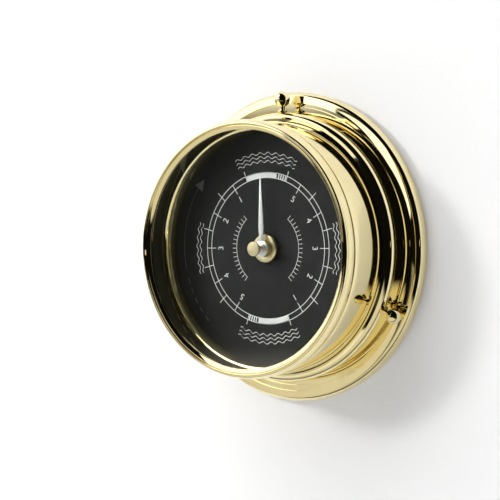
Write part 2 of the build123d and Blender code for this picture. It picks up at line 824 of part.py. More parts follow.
def make_board():
    """The circuit board and the quartz can on it."""
    middle = ((board_left + board_right) / 2, (board_bottom + board_top) / 2)
    with BuildPart() as circuit_board:
        with BuildSketch(facing(board_layer, *middle)):
            Rectangle(board_right - board_left, board_top - board_bottom)
        extrude(amount=board_thickness)
    save(circuit_board.part, "circuit_board")
    can_depth = board_layer + board_thickness + crystal_radius
    crystal_place = (board_left + crystal_inset_x, -can_depth, board_bottom + crystal_inset_z)
    with BuildPart() as quartz_crystal:
        with BuildSketch(Plane(origin=crystal_place, z_dir=(1, 0, 0))):
            Circle(crystal_radius)
        extrude(amount=crystal_length)
    save(quartz_crystal.part, "quartz_crystal")


os.makedirs("parts", exist_ok=True)
make_wall_ring()
make_ball_screws()
make_case_drum()
make_bezel()
make_glass()
make_glass_sleeve()
make_reflector_ring()
make_dial_plate()
make_centre_fittings()
make_tide_hand()
make_hand_cap()
make_wheels()
make_setting_knob()
make_movement_shell()
make_movement_cover()
make_battery_parts()
make_motor()
make_board()
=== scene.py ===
import json
from math import asin, atan2, cos, hypot, pi, radians, sin, sqrt

import bpy
from mathutils import Matrix, Vector


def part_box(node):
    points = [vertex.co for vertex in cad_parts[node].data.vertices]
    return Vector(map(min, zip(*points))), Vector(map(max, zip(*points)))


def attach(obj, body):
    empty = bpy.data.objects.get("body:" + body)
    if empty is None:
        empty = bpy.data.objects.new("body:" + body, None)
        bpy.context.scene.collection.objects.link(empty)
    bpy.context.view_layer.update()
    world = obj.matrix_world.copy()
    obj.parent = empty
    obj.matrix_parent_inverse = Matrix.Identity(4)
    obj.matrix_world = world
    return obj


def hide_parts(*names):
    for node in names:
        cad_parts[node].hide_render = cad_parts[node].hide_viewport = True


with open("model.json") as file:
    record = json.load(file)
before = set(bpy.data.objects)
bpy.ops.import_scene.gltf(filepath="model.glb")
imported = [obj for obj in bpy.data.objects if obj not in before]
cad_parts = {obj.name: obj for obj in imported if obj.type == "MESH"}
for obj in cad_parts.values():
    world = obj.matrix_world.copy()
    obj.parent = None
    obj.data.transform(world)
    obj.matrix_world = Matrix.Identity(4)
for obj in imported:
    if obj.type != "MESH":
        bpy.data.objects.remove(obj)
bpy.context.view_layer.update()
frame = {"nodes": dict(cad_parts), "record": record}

# A wall-mounted brass tide clock. The wall is the plane y = 0 and the clock
# faces -Y, with +Z up. A depth is a distance from the wall to the front, and a
# clock angle runs from twelve towards three.

mm = 0.001
turning_steps, small_turning_steps, fine_steps = 288, 128, 96
drill_sides = 48
edge_angle = radians(28)
weld_gap = 0.002 * mm
AXIS = Vector((0, -1, 0))
SIDE = Vector((1, 0, 0))


# Sizes read from the frame


def reach(node):
    """A round node's radius and its back and front depths."""
    low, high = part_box(node)
    return high.x, -high.y, -low.y


drum_radius, drum_back, drum_front = reach("case_drum")
ring_radius, _, ring_front = reach("wall_ring")
bezel_radius, bezel_back, bezel_front = reach("bezel")
glass_radius, glass_back, glass_front = reach("glass")
sleeve_radius, sleeve_back, sleeve_front = reach("glass_sleeve")
reflector_radius, reflector_back, reflector_front = reach("reflector_ring")
dial_radius, dial_back, dial_front = reach("dial_plate")
nut_radius, nut_back, nut_front = reach("centre_nut")
washer_radius, washer_back, washer_front = reach("centre_washer")
cap_radius, stem_back, cap_front = reach("hand_cap")
eye_radius, hand_back, hand_front = reach("tide_hand")
hand_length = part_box("tide_hand")[1].z
bush_radius = 4.0 * mm


# Ways to model a piece


def clear_selection():
    """Leaves edit mode and deselects everything."""
    if bpy.context.object and bpy.context.object.mode != "OBJECT":
        bpy.ops.object.mode_set(mode="OBJECT")
    bpy.ops.object.select_all(action="DESELECT")


def choose(piece):
    """Makes one piece the selected and active one."""
    clear_selection()
    piece.select_set(True)
    bpy.context.view_layer.objects.active = piece


def settle(piece):
    """Puts a piece's place into its mesh."""
    choose(piece)
    bpy.ops.object.transform_apply(location=True, rotation=True, scale=True)


def apply_modifier(piece, kind, **values):
    """Adds a modifier with its values and applies it."""
    choose(piece)
    modifier = piece.modifiers.new(kind.title(), kind)
    for name, value in values.items():
        setattr(modifier, name, value)
    bpy.ops.object.modifier_apply(modifier=modifier.name)


def soften(piece, width, segments=2):
    """Rounds the sharp edges of a piece and smooths its shading."""
    apply_modifier(piece, "BEVEL", width=width, segments=segments, limit_method="ANGLE",
                   angle_limit=edge_angle, harden_normals=False)
    choose(piece)
    bpy.ops.object.shade_smooth_by_angle(angle=edge_angle)


def arc(start, middle, end, count):
    """Points on the arc through three places, each a (radius, depth)."""
    (ax, ay), (bx, by), (cx, cy) = start, middle, end
    spread = 2 * (ax * (by - cy) + bx * (cy - ay) + cx * (ay - by))
    a2, b2, c2 = ax * ax + ay * ay, bx * bx + by * by, cx * cx + cy * cy
    ox = (a2 * (by - cy) + b2 * (cy - ay) + c2 * (ay - by)) / spread
    oy = (a2 * (cx - bx) + b2 * (ax - cx) + c2 * (bx - ax)) / spread
    radius = hypot(ax - ox, ay - oy)
    first = atan2(ay - oy, ax - ox)
    sweep = atan2(cy - oy, cx - ox) - first
    half = atan2(by - oy, bx - ox) - first
    sweep = (sweep + pi) % (2 * pi) - pi
    half = (half + pi) % (2 * pi) - pi
    if sweep * half < 0:
        sweep += 2 * pi if half > 0 else -2 * pi
    return [(ox + radius * cos(first + sweep * step / count),
             oy + radius * sin(first + sweep * step / count)) for step in range(count + 1)]


def begin_at(place):
    """Starts a mesh as one vertex at a place, and stays in edit mode."""
    clear_selection()
    bpy.ops.mesh.primitive_plane_add(size=mm, location=place)
    bpy.ops.object.mode_set(mode="EDIT")
    bpy.ops.mesh.select_mode(type="VERT")
    bpy.ops.mesh.select_all(action="SELECT")
    bpy.ops.mesh.merge(type="CENTER")
    return bpy.context.object


def draw_through(places):
    """Extrudes what is selected from the first place through all the others."""
    for here, there in zip(places, places[1:]):
        bpy.ops.mesh.extrude_region_move(
            TRANSFORM_OT_translate={"value": there - here, "orient_type": "GLOBAL"})


def extrude_all(offset):
    """Extrudes the whole mesh along an offset."""
    bpy.ops.mesh.select_all(action="SELECT")
    bpy.ops.mesh.extrude_region_move(TRANSFORM_OT_translate={"value": offset})


def spin_all(steps, angle, centre=Vector(), axis=AXIS):
    """Spins the whole mesh round an axis and joins what meets."""
    bpy.ops.mesh.select_all(action="SELECT")
    bpy.ops.mesh.spin(steps=steps, angle=angle, center=centre, axis=axis)
    bpy.ops.mesh.select_all(action="SELECT")
    bpy.ops.mesh.remove_doubles(threshold=weld_gap)


def close_up(piece):
    """Turns the faces outward and leaves edit mode with the place in the mesh."""
    bpy.ops.mesh.select_all(action="SELECT")
    bpy.ops.mesh.normals_make_consistent(inside=False)
    bpy.ops.object.mode_set(mode="OBJECT")
    settle(piece)
    return piece


def turned(name, outline, centre=Vector(), axis=AXIS, side=SIDE, steps=turning_steps):
    """A turned piece: an outline of (radius, place along the axis), spun once round."""
    places = [centre + side * radius + axis * along for radius, along in outline]
    piece = begin_at(places[0])
    piece.name = name
    draw_through(places)
    spin_all(steps, 2 * pi, centre, axis)
    return close_up(piece)


def plate(corners, thickness):
    """A flat plate with the given corners, extruded towards the front."""
    piece = begin_at(corners[0])
    draw_through(corners)
    bpy.ops.mesh.select_all(action="SELECT")
    bpy.ops.mesh.edge_face_add()
    extrude_all(AXIS * thickness)
    return close_up(piece)


def drill(piece, start, direction, radius, depth, mouth_radius=None):
    """Cuts a round hole in a piece, with a wider mouth where one is given."""
    direction = direction.normalized()
    clear_selection()
    bpy.ops.mesh.primitive_cone_add(
        vertices=drill_sides, radius1=mouth_radius or radius, radius2=radius, depth=depth,
        location=start + direction * depth / 2,
        rotation=direction.to_track_quat("Z", "Y").to_euler())
    cutter = bpy.context.object
    settle(cutter)
    apply_modifier(piece, "BOOLEAN", operation="DIFFERENCE", object=cutter, solver="EXACT")
    bpy.data.objects.remove(cutter)


def finish_piece(piece, body, material, nodes=()):
    """Gives a piece its material, its body and the nodes that it stands for."""
    piece.data.materials.clear()
    piece.data.materials.append(material)
    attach(piece, body)
    if nodes:
        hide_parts(*nodes)
    return piece


def clockwise(angle):
    """The direction of a clock angle in degrees."""
    return Vector((sin(radians(angle)), 0, cos(radians(angle))))


# Materials


class Nodes:
    """A material's node tree, with short ways to add and join nodes."""

    def __init__(self, name):
        self.material = bpy.data.materials.new(name)
        self.material.use_nodes = True
        self.tree = self.material.node_tree
        self.tree.nodes.clear()
        self.shader = self.tree.nodes.new("ShaderNodeBsdfPrincipled")
        self.output = self.tree.nodes.new("ShaderNodeOutputMaterial")
        self.link(self.shader.outputs[0], self.output.inputs["Surface"])

    def link(self, source, target):
        self.tree.links.new(source, target)

    def add(self, kind, **values):
        node = self.tree.nodes.new(kind)
        for name, value in values.items():
            setattr(node, name, value)
        return node

    def group(self, tree, **values):
        node = self.add("ShaderNodeGroup")
        node.node_tree = tree
        for name, value in values.items():
            node.inputs[name.replace("_", " ").title()].default_value = value
        return node

    def feed(self, socket, source):
        self.link(source, self.shader.inputs[socket])


def new_group(name, inputs, outputs):
    """An empty node group with named inputs and outputs."""
    tree = bpy.data.node_groups.new(name, "ShaderNodeTree")
    for label, kind, value in inputs:
        socket = tree.interface.new_socket(label, in_out="INPUT", socket_type=kind)
        socket.default_value = value
    for label, kind in outputs:
        tree.interface.new_socket(label, in_out="OUTPUT", socket_type=kind)
    return tree, tree.nodes.new("NodeGroupInput"), tree.nodes.new("NodeGroupOutput")


def make_tarnish_group():
    """Soft cloudy patches and fine specks, for a metal's colour and roughness."""
    tree, given, result = new_group(
        "soft_tarnish",
        [("Clean", "NodeSocketColor", (0.8, 0.6, 0.3, 1)),
         ("Dull", "NodeSocketColor", (0.7, 0.5, 0.2, 1)),
         ("Patch Size", "NodeSocketFloat", 60.0),
         ("Smooth", "NodeSocketFloat", 0.06),
         ("Rough", "NodeSocketFloat", 0.12)],
        [("Color", "NodeSocketColor"), ("Roughness", "NodeSocketFloat"),
         ("Height", "NodeSocketFloat")])
    coordinates = tree.nodes.new("ShaderNodeTexCoord")
    cloud = tree.nodes.new("ShaderNodeTexNoise")
    cloud.inputs["Detail"].default_value = 4.0
    cloud.inputs["Roughness"].default_value = 0.55
    speck = tree.nodes.new("ShaderNodeTexNoise")
    speck.inputs["Scale"].default_value = 900.0
    speck.inputs["Detail"].default_value = 2.0
    edge = tree.nodes.new("ShaderNodeMapRange")
    edge.inputs["From Min"].default_value = 0.4
    edge.inputs["From Max"].default_value = 0.68
    blend = tree.nodes.new("ShaderNodeMix")
    blend.data_type = "RGBA"
    gloss = tree.nodes.new("ShaderNodeMapRange")
    links = tree.links
    links.new(coordinates.outputs["Object"], cloud.inputs["Vector"])
    links.new(coordinates.outputs["Object"], speck.inputs["Vector"])
    links.new(given.outputs["Patch Size"], cloud.inputs["Scale"])
    links.new(cloud.outputs["Fac"], edge.inputs["Value"])
    links.new(edge.outputs["Result"], blend.inputs["Factor"])
    links.new(given.outputs["Clean"], blend.inputs["A"])
    links.new(given.outputs["Dull"], blend.inputs["B"])
    links.new(edge.outputs["Result"], gloss.inputs["Value"])
    links.new(given.outputs["Smooth"], gloss.inputs["To Min"])
    links.new(given.outputs["Rough"], gloss.inputs["To Max"])
    links.new(blend.outputs["Result"], result.inputs["Color"])
    links.new(gloss.outputs["Result"], result.inputs["Roughness"])
    links.new(speck.outputs["Fac"], result.inputs["Height"])
    return tree


tarnish = make_tarnish_group()


metal_grain, metal_grain_depth = 0.02, 0.02 * mm
paint_grain, paint_grain_depth = 0.15, 0.05 * mm


def patchy(name, clean, dull, smooth, rough, patch_size, grain, grain_depth):
    """A surface with faint patches of tone and gloss and a very fine grain."""
    nodes = Nodes(name)
    look = nodes.group(tarnish, clean=(*clean, 1), dull=(*dull, 1), patch_size=patch_size,
                       smooth=smooth, rough=rough)
    nodes.feed("Base Color", look.outputs["Color"])
    nodes.feed("Roughness", look.outputs["Roughness"])
    bump = nodes.add("ShaderNodeBump")
    bump.inputs["Strength"].default_value = grain
    bump.inputs["Distance"].default_value = grain_depth
    nodes.link(look.outputs["Height"], bump.inputs["Height"])
    nodes.feed("Normal", bump.outputs["Normal"])
    return nodes


def metal(name, clean, dull, smooth, rough, patch_size=60.0):
    """A polished or satin metal."""
    nodes = patchy(name, clean, dull, smooth, rough, patch_size, metal_grain, metal_grain_depth)
    nodes.shader.inputs["Metallic"].default_value = 1.0
    return nodes.material


def plastic(name, clean, dull, smooth, rough, patch_size=90.0, shine=0.5):
    """A moulded, painted or printed surface."""
    nodes = patchy(name, clean, dull, smooth, rough, patch_size, paint_grain, paint_grain_depth)
    nodes.shader.inputs["Specular IOR Level"].default_value = shine
    return nodes.material


def make_glass_material():
    """Clear glass with the faintest unevenness, which lets the lamps' light through."""
    nodes = Nodes("clear_glass")
    nodes.shader.inputs["Base Color"].default_value = (0.98, 1.0, 0.99, 1)
    nodes.shader.inputs["Transmission Weight"].default_value = 1.0
    nodes.shader.inputs["IOR"].default_value = 1.46
    haze = nodes.add("ShaderNodeTexNoise")
    haze.inputs["Scale"].default_value = 45.0
    spread = nodes.add("ShaderNodeMapRange")
    spread.inputs["To Min"].default_value = 0.0
    spread.inputs["To Max"].default_value = 0.012
    coordinates = nodes.add("ShaderNodeTexCoord")
    nodes.link(coordinates.outputs["Object"], haze.inputs["Vector"])
    nodes.link(haze.outputs["Fac"], spread.inputs["Value"])
    nodes.feed("Roughness", spread.outputs["Result"])
    rays = nodes.add("ShaderNodeLightPath")
    clear = nodes.add("ShaderNodeBsdfTransparent")
    clear.inputs["Color"].default_value = (0.93, 0.95, 0.94, 1)
    passing = nodes.add("ShaderNodeMixShader")
    nodes.link(rays.outputs["Is Shadow Ray"], passing.inputs["Fac"])
    nodes.link(nodes.shader.outputs[0], passing.inputs[1])
    nodes.link(clear.outputs[0], passing.inputs[2])
    nodes.link(passing.outputs[0], nodes.output.inputs["Surface"])
    return nodes.material


brass = metal("polished_brass", (0.93, 0.82, 0.48), (0.90, 0.78, 0.43), 0.03, 0.07)
satin_brass = metal("satin_brass", (0.80, 0.70, 0.44), (0.72, 0.61, 0.36), 0.30, 0.38, 200.0)
black_dial = plastic("black_dial_paint", (0.018, 0.018, 0.018), (0.023, 0.023, 0.023), 0.5, 0.6,
                     shine=0.15)
white_ink = plastic("white_dial_ink", (0.86, 0.86, 0.85), (0.80, 0.80, 0.79), 0.5, 0.6,
                    shine=0.2)
# A dark grey copy of the white ink: painted shade for the print that lies in the bezel's shadow
# on the dial's left.
shaded_print_ink = plastic("dial_ink_painted_shade", (0.10, 0.10, 0.10), (0.07, 0.07, 0.07), 0.5, 0.6, shine=0.2)
silver = metal("silver_hand", (0.86, 0.86, 0.85), (0.76, 0.76, 0.76), 0.40, 0.50, 150.0)
glass_material = make_glass_material()
white_plastic = plastic("white_nylon", (0.78, 0.77, 0.73), (0.70, 0.68, 0.63), 0.35, 0.5)
black_plastic = plastic("black_housing", (0.018, 0.018, 0.019), (0.03, 0.03, 0.03), 0.4, 0.6)
steel = metal("steel", (0.55, 0.55, 0.54), (0.42, 0.41, 0.40), 0.2, 0.35, 200.0)
magnet = metal("magnet", (0.20, 0.20, 0.21), (0.13, 0.13, 0.14), 0.35, 0.5, 250.0)
sleeve_print = plastic("battery_sleeve", (0.03, 0.10, 0.22), (0.04, 0.12, 0.25), 0.25, 0.35)
spring_steel = metal("nickel_contact", (0.75, 0.72, 0.66), (0.62, 0.59, 0.53), 0.15, 0.3, 250.0)
copper = metal("copper_wire", (0.72, 0.32, 0.16), (0.55, 0.22, 0.10), 0.25, 0.4, 400.0)
board_green = plastic("board_green", (0.02, 0.13, 0.06), (0.03, 0.16, 0.08), 0.25, 0.4, 300.0)

SLOT_MATERIALS = {
    "polished_brass": brass, "clear_glass": glass_material, "black_dial": black_dial,
    "silver_hand": silver, "white_plastic": white_plastic, "steel": steel, "magnet": magnet,
    "black_plastic": black_plastic, "battery_sleeve": sleeve_print,
    "spring_steel": spring_steel, "copper_wire": copper, "board_green": board_green,
}


def dress_cad_nodes():
    """Gives every node of the frame the procedural material of its slot."""
    for entry in frame["record"]["subparts"]:
        node = frame["nodes"][entry["node"]]
        node.data.materials.clear()
        node.data.materials.append(SLOT_MATERIALS[entry["material_slot"]])


dress_cad_nodes()


# Turned pieces, the hand and the screws


def make_bezel():
    """The rounded bezel, its grooved front, its lip and its spigot."""
    roll, front_width, half_groove = 1.1 * mm, 0.6 * mm, 0.35 * mm
    groove_drop, step_drop, lip_drop = 0.9 * mm, 0.65 * mm, 1.7 * mm
    seat = drum_front + 0.15 * mm
    shoulder_depth = bezel_front - roll
    side = drum_radius + 0.4 * mm
    bore = glass_radius + 0.2 * mm
    lip = bore - 1.5 * mm
    lip_outer = lip + 1.8 * mm
    groove = lip_outer + half_groove
    front_inner = groove + half_groove
    front_outer = front_inner + front_width
    shoulder = front_outer + roll
    spigot = drum_radius - 1.3 * mm
    bulge = arc((side, seat), (bezel_radius, (seat + shoulder_depth) / 2),
                (shoulder, shoulder_depth), 20)
    round_over = arc((shoulder, shoulder_depth),
                     (front_outer + roll * cos(radians(45)),
                      shoulder_depth + roll * sin(radians(45))),
                     (front_outer, bezel_front), 10)
    outline = bulge + round_over[1:] + [
        (front_inner, bezel_front), (groove, bezel_front - groove_drop),
        (lip_outer, bezel_front - step_drop), (lip, bezel_front - lip_drop),
        (lip, glass_front), (bore, glass_front), (bore, bezel_back), (spigot, bezel_back),
        (spigot, seat), (side, seat)]
    piece = turned("bezel_turned", outline)
    soften(piece, 0.12 * mm)
    return finish_piece(piece, "clock_case", brass, ["bezel"])


def make_drum():
    """The spun drum with its rounded front, turned-in back edge and ledge for the dial."""
    wall, edge = 1.2 * mm, 0.6 * mm
    shoulder, drop = 4.2 * mm, 0.9 * mm
    bend = (shoulder ** 2 + drop ** 2) / (2 * drop)
    half_turn = asin(shoulder / bend) / 2
    rounded = arc((drum_radius, drum_front - shoulder),
                  (drum_radius - bend * (1 - cos(half_turn)),
                   drum_front - shoulder + bend * sin(half_turn)),
                  (drum_radius - drop, drum_front), 16)
    inner = drum_radius - wall
    ledge, ledge_back = inner - 3.5 * mm, dial_back - 1.2 * mm
    opening = drum_radius - 13.2 * mm
    outline = rounded + [
        (inner, drum_front), (inner, dial_back),
        (ledge, dial_back), (ledge, ledge_back), (inner, ledge_back),
        (inner, drum_back + wall), (opening, drum_back + wall), (opening, drum_back),
        (drum_radius - edge, drum_back), (drum_radius, drum_back + edge),
        (drum_radius, drum_front - shoulder)]
    piece = turned("drum_spun", outline)
    soften(piece, 0.12 * mm)
    return finish_piece(piece, "clock_case", brass, ["case_drum"])


ball_screw_depth = 15.0 * mm
screw_angles = {"top": 0, "right": 117, "left": -117}
wall_hole_angles = (60, 180, 300)
screw_hole, wall_hole = 1.55 * mm, 2.25 * mm
head_radius, head_depth = 3.6 * mm, 1.55 * mm
overrun, proud = 1.0 * mm, 0.01 * mm


def make_wall_ring():
    """The flange with its rolled edge and bead, the collar, the web and all the holes."""
    web, web_width = 2.4 * mm, 19.45 * mm
    bore = drum_radius + 0.25 * mm
    neck = bore + 1.75 * mm
    collar = neck + 2.2 * mm
    half_bead = 3.7 * mm
    face = 7.6 * mm
    bead_inner, bead_outer = neck + 4.1 * mm, neck + 5.2 * mm
    bead_top = face + 0.9 * mm
    foot = bead_outer + 1.9 * mm
    roll = foot + 2.1 * mm
    roll_depth = face + 0.3 * mm
    outer = ring_radius
    side_depth, corner_depth = 0.456 * roll_depth, 0.82 * roll_depth
    back_inset, under_inset, corner_inset, front_inset = 1.3 * mm, 0.35 * mm, 0.5 * mm, 1.7 * mm
    crown, ridge, collar_edge = 0.1 * mm, 1.0 * mm, 0.9 * mm
    rolled = arc((outer - back_inset, 0), (outer - under_inset, side_depth / 2),
                 (outer, side_depth), 8)
    rolled += arc((outer, side_depth), (outer - corner_inset, corner_depth),
                  (outer - front_inset, roll_depth), 14)[1:] + [(roll, roll_depth + crown)]
    collar_round = arc((neck, ball_screw_depth - half_bead), (collar, ball_screw_depth),
                       (neck, ball_screw_depth + half_bead), 22)
    outline = [(bore, web), (bore - web_width, web), (bore - web_width, 0)] + rolled + [
        (foot, face + ridge), (foot, face), (bead_outer, face), (bead_outer, bead_top),
        (bead_inner, bead_top), (bead_inner, face), (neck, face)] + collar_round + [
        (bore + collar_edge, ring_front), (bore, ring_front), (bore, web)]
    piece = turned("wall_ring_turned", outline)
    for angle in screw_angles.values():
        out = clockwise(angle)
        drill(piece, out * (bore - overrun) + AXIS * ball_screw_depth, out, screw_hole,
              collar - bore + 2 * overrun)
    for angle in wall_hole_angles:
        place = clockwise(angle) * (bore - web_width / 2)
        drill(piece, place - AXIS * overrun, AXIS, wall_hole, web + 2 * overrun)
        drill(piece, place + AXIS * (web + proud), -AXIS, wall_hole, head_depth, head_radius)
    soften(piece, 0.12 * mm)
    return finish_piece(piece, "wall_mount", brass, ["wall_ring"])


def make_reflector():
    """The curved brass ring that rises from the dial to the bezel."""
    edge = glass_radius - 0.9 * mm
    lip = edge - 0.7 * mm
    inner = lip - 1.6 * mm
    lip_depth = reflector_front - 0.5 * mm
    waist, waist_depth = inner + 0.5 * mm, 0.565 * (lip_depth - reflector_back) + reflector_back
    outline = arc((inner, reflector_back), (waist, waist_depth), (lip, lip_depth), 16) + [
        (edge, reflector_front), (reflector_radius, reflector_front),
        (reflector_radius, reflector_back), (inner, reflector_back)]
    piece = turned("reflector_turned", outline)
    soften(piece, 0.08 * mm)
    return finish_piece(piece, "clock_case", brass, ["reflector_ring"])


def make_sleeve():
    """The thin sleeve that holds the glass against the lip."""
    inner = sleeve_radius - 0.9 * mm
    outline = [(sleeve_radius, sleeve_back), (inner, sleeve_back), (inner, sleeve_front),
               (sleeve_radius, sleeve_front), (sleeve_radius, sleeve_back)]
    piece = turned("sleeve_turned", outline)
    soften(piece, 0.05 * mm, 1)
    return finish_piece(piece, "clock_case", brass, ["glass_sleeve"])


def make_glass():
    """The flat glass with a fine ground edge."""
    outline = [(0, glass_back), (glass_radius, glass_back), (glass_radius, glass_front),
               (0, glass_front)]
    piece = turned("glass_ground", outline)
    soften(piece, 0.15 * mm, 1)
    return finish_piece(piece, "clock_case", glass_material, ["glass"])


def make_dial():
    """The dial plate, with a hole for the bush."""
    hole = bush_radius + 0.2 * mm
    outline = [(hole, dial_back), (hole, dial_front), (dial_radius, dial_front),
               (dial_radius, dial_back), (hole, dial_back)]
    piece = turned("dial_turned", outline)
    soften(piece, 0.05 * mm, 1)
    return finish_piece(piece, "clock_case", black_dial, ["dial_plate"])


def make_nut_and_washer():
    """The round nut with its chamfered rim and the washer under it."""
    hole = bush_radius + 0.05 * mm
    edge, mouth = 0.5 * mm, 0.25 * mm
    outline = [(hole, nut_back), (hole, nut_front - mouth), (hole + mouth, nut_front),
               (nut_radius - edge, nut_front), (nut_radius, nut_front - edge),
               (nut_radius, nut_back), (hole, nut_back)]
    nut = turned("nut_turned", outline, steps=small_turning_steps)
    soften(nut, 0.12 * mm)
    finish_piece(nut, "clock_case", satin_brass, ["centre_nut"])
    outline = [(hole, washer_back), (hole, washer_front), (washer_radius, washer_front),
               (washer_radius, washer_back), (hole, washer_back)]
    washer = turned("washer_turned", outline, steps=small_turning_steps)
    soften(washer, 0.06 * mm, 1)
    finish_piece(washer, "clock_case", satin_brass, ["centre_washer"])


def make_cap():
    """The flat brass button on its slim stem."""
    stem, edge = 1.7 * mm, 0.36 * mm
    cap_back = cap_front - 1.1 * mm
    bend = edge * (1 - cos(radians(45)))
    rim = arc((cap_radius, cap_front - edge), (cap_radius - bend, cap_front - bend),
              (cap_radius - edge, cap_front), 6)
    outline = [(0, stem_back), (stem, stem_back), (stem, cap_back), (cap_radius, cap_back)]
    piece = turned("cap_turned", outline + rim + [(0, cap_front)], steps=small_turning_steps)
    soften(piece, 0.06 * mm)
    return finish_piece(piece, "hand", satin_brass, ["hand_cap"])


def make_hand():
    """The lance hand with bevelled edges, its round eye and its boss."""
    hole, boss = 1.95 * mm, 2.6 * mm
    neck, widest, point = 1.9 * mm, 3.1 * mm, 0.7 * mm
    widest_place, thick = 0.3 * hand_length, 0.6 * mm
    outline = [(hole, hand_back), (eye_radius, hand_back), (eye_radius, hand_back + thick),
               (boss, hand_back + thick), (boss, hand_front), (0, hand_front),
               (0, hand_back + thick), (hole, hand_back + thick), (hole, hand_back)]
    eye = turned("tide_hand_shaped", outline, steps=fine_steps)
    soften(eye, 0.1 * mm)
    start = eye_radius - 0.5 * mm
    rows = [(start, neck), (widest_place, widest), (hand_length, point)]
    corners = [Vector((-width / 2, 0, place)) for place, width in rows]
    corners += [Vector((width / 2, 0, place)) for place, width in reversed(rows)]
    blade = plate([corner + AXIS * hand_back for corner in corners], thick)
    soften(blade, 0.14 * mm, 3)
    finish_piece(eye, "hand", silver, ["tide_hand"])
    blade.name = "tide_hand_blade"
    return finish_piece(blade, "hand", silver)


def make_ball_screws():
    """Three screws, each a ball on a neck with a round foot."""
    ball, neck, foot, shaft = 3.9 * mm, 1.35 * mm, 2.4 * mm, 1.5 * mm
    collar = drum_radius + 4.2 * mm
    foot_back = collar + 0.15 * mm
    foot_top = foot_back + 0.9 * mm
    neck_top = foot_top + 1.9 * mm
    ball_centre = neck_top + sqrt(ball * ball - neck * neck)
    tip = drum_radius + 0.06 * mm
    for side, angle in screw_angles.items():
        out = clockwise(angle)
        round_ball = arc((neck, neck_top), (ball, ball_centre), (0, ball_centre + ball), 28)
        outline = [(0, tip), (shaft, tip), (shaft, foot_back), (foot, foot_back),
                   (foot, foot_top), (neck, foot_top)] + round_ball
        piece = turned(f"ball_screw_{side}_turned", outline, centre=AXIS * ball_screw_depth,
                       axis=out, side=AXIS, steps=fine_steps)
        soften(piece, 0.1 * mm)
        finish_piece(piece, f"screw_{side}", brass, [f"ball_screw_{side}"])


make_bezel()
make_drum()
make_wall_ring()
make_reflector()
make_sleeve()
make_glass()
make_dial()
make_nut_and_washer()
make_cap()
make_hand()
make_ball_screws()


# Dial print

# Lengths are radii on the dial unless they are named a width, height or thickness.
# Angles are clock angles in degrees, or spreads either side of a middle.

ink_thickness = 0.03 * mm
line_width = 0.36 * mm
outer_ring, inner_ring = 38.1 * mm, 35.35 * mm

hour_angles = [20 + 14 * step for step in range(11)]
end_tick_end, plain_tick_end, number_tick_start = 40.5 * mm, 41.0 * mm, 32.5 * mm
number_place, number_height, digit_height_share = 29.2 * mm, 3.2 * mm, 0.7

band_first, band_last, band_step = -20, 10, 1.5
bar_first, bar_width, bar_pitch, bar_count = 11.6, 1.1, 2.2, 4

steps_a_wave = 12
long_wave_places, tall_wave = (43.2 * mm, 45.2 * mm, 47.2 * mm), 0.55 * mm
long_wave_spread, long_waves = 24, 8
short_wave_places, low_wave = (42.2 * mm, 44.2 * mm), 0.5 * mm
short_wave_spread, short_waves = 17, 6

track_inner, track_outer, track_end = 19.2 * mm, 19.45 * mm, 49
track_tick_start, track_tick_end, track_tick_width = 19.6 * mm, 21.8 * mm, 0.26 * mm
track_spread, track_step = 48, 6

arc_inner, arc_outer, arc_first, arc_last = 52.5 * mm, 52.8 * mm, 258, 305
arrow_inner, arrow_outer, arrow_last = 49.4 * mm, 55.2 * mm, 311.5
dash_inner, dash_outer, dash_length = 52.4 * mm, 52.9 * mm, 3.5
dash_first, dash_last, dash_step = 226, 254, 6


def on_dial(angle, radius):
    """The place on the dial's face at a clock angle and a radius."""
    return clockwise(angle) * radius + AXIS * dial_front


def ink_box(inner, outer, angle, width):
    """A printed stroke between two radii at a clock angle."""
    clear_selection()
    bpy.ops.mesh.primitive_plane_add(
        size=1, location=on_dial(angle, (inner + outer) / 2),
        rotation=(pi / 2, radians(angle), 0))
    stroke = bpy.context.object
    stroke.scale = (width, outer - inner, 1)
    settle(stroke)
    bpy.ops.object.mode_set(mode="EDIT")
    extrude_all(AXIS * ink_thickness)
    return close_up(stroke)


def ink_band(inner, outer, first, last):
    """A printed band between two radii and two clock angles."""
    band = begin_at(on_dial(first, inner))
    draw_through([on_dial(first, inner), on_dial(first, outer)])
    extrude_all(AXIS * ink_thickness)
    spin_all(max(4, int((last - first) / band_step)), radians(last - first))
    return close_up(band)


def ink_number(text, radius, angle, height):
    """A printed number, upright along its radius."""
    clear_selection()
    bpy.ops.object.text_add(rotation=(pi / 2, radians(angle), 0),
                            location=on_dial(angle, radius))
    number = bpy.context.object
    number.data.body = text
    number.data.size = height / digit_height_share
    number.data.align_x = "CENTER"
    number.data.align_y = "CENTER"
    number.data.extrude = ink_thickness
    bpy.ops.object.convert(target="MESH")
    settle(number)
    return number


def join_print(name, pieces, material):
    """Joins printed shapes into one piece on the dial."""
    clear_selection()
    for piece in pieces:
        piece.select_set(True)
    bpy.context.view_layer.objects.active = pieces[0]
    bpy.ops.object.join()
    joined = bpy.context.object
    joined.name = name
    return finish_piece(joined, "clock_case", material)


def ink_wave(radius, height, first, last, waves):
    """A printed wavy line round the dial, as a plain sign for water."""
    count = waves * steps_a_wave
    places = []
    for step in range(count + 1):
        swell = height * sin(2 * pi * waves * step / count)
        places.append(on_dial(first + (last - first) * step / count, radius + swell))
    across = clockwise(first) * line_width
    low = places[0] - across / 2
    wave = begin_at(low)
    draw_through([low, low + across])
    bpy.ops.mesh.select_all(action="SELECT")
    draw_through(places)
    extrude_all(AXIS * ink_thickness)
    return close_up(wave)


def ink_arrowhead(inner, outer, first, last):
    """A printed triangle that points round the dial."""
    return plate([on_dial(first, inner), on_dial(first, outer),
                  on_dial(last, (inner + outer) / 2)], ink_thickness)


